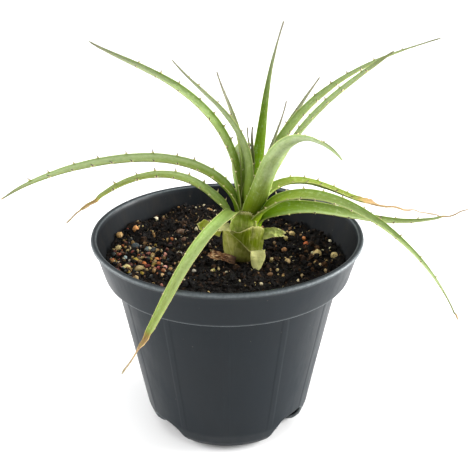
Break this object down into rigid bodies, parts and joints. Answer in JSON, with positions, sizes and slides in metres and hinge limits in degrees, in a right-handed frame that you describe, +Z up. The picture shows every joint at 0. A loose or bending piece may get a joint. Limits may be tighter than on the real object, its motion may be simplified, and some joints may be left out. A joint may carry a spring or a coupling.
{
  "type": "potted puya",
  "caption": "Young spiny-leaved puya rosette on a short leaning stem, in dark peaty soil in a tapered plastic nursery pot with a collar and four feet.",
  "frame": {"origin": "on the pot's axis, at the flat underside of its floor, which is what the pot stands on", "axes": "+Z up along the pot's axis, +X to the right of the pictured front, -Y towards the viewer"},
  "size_m": [0.2037, 0.1469, 0.1801],
  "materials": {
    "pot": "dark slate-grey moulded plastic, satin, dusty",
    "soil": "damp peaty potting soil, loose and fibrous",
    "stem": "short fleshy stem, dark green to brown",
    "leaf": "living succulent leaf, waxy green with a pale bloom",
    "sheath": "cut leaf base, smooth olive green",
    "stub": "cut leaf, pale green",
    "leaf_dried": "dried brown leaf",
    "stone": "tan pumice and small gravel, rough"
  },
  "bodies": {
    "root": {"pot": "pot", "soil": "soil", "stem": "stem", "leaf_left_long": "leaf", "leaf_left_short": "leaf", "leaf_upper_left": "leaf", "leaf_upper_left_thin": "leaf", "leaf_back_left_thin": "leaf", "leaf_bud_left": "leaf", "leaf_bud_right": "leaf", "leaf_tall": "leaf", "leaf_back_right_thin": "leaf", "leaf_back_right": "leaf", "leaf_right_high": "leaf", "leaf_right_second": "leaf", "leaf_front_curl": "leaf", "leaf_right_dry": "leaf", "leaf_right_arch": "leaf", "leaf_right_low": "leaf", "leaf_front_left": "leaf", "leaf_back": "leaf", "sheath_barrel": "sheath", "sheath_wrap": "sheath", "sheath_front": "sheath", "stub_right": "stub", "stub_left": "stub", "stub_hanging": "stub", "flap_left": "stub", "leaf_dried": "leaf_dried", "stone_01": "stone", "stone_02": "stone", "stone_03": "stone", "stone_04": "stone", "stone_05": "stone", "stone_06": "stone", "stone_07": "stone", "stone_08": "stone", "stone_09": "stone", "stone_10": "stone", "stone_11": "stone", "stone_12": "stone", "stone_13": "stone", "stone_14": "stone"}
  },
  "joints": []
}
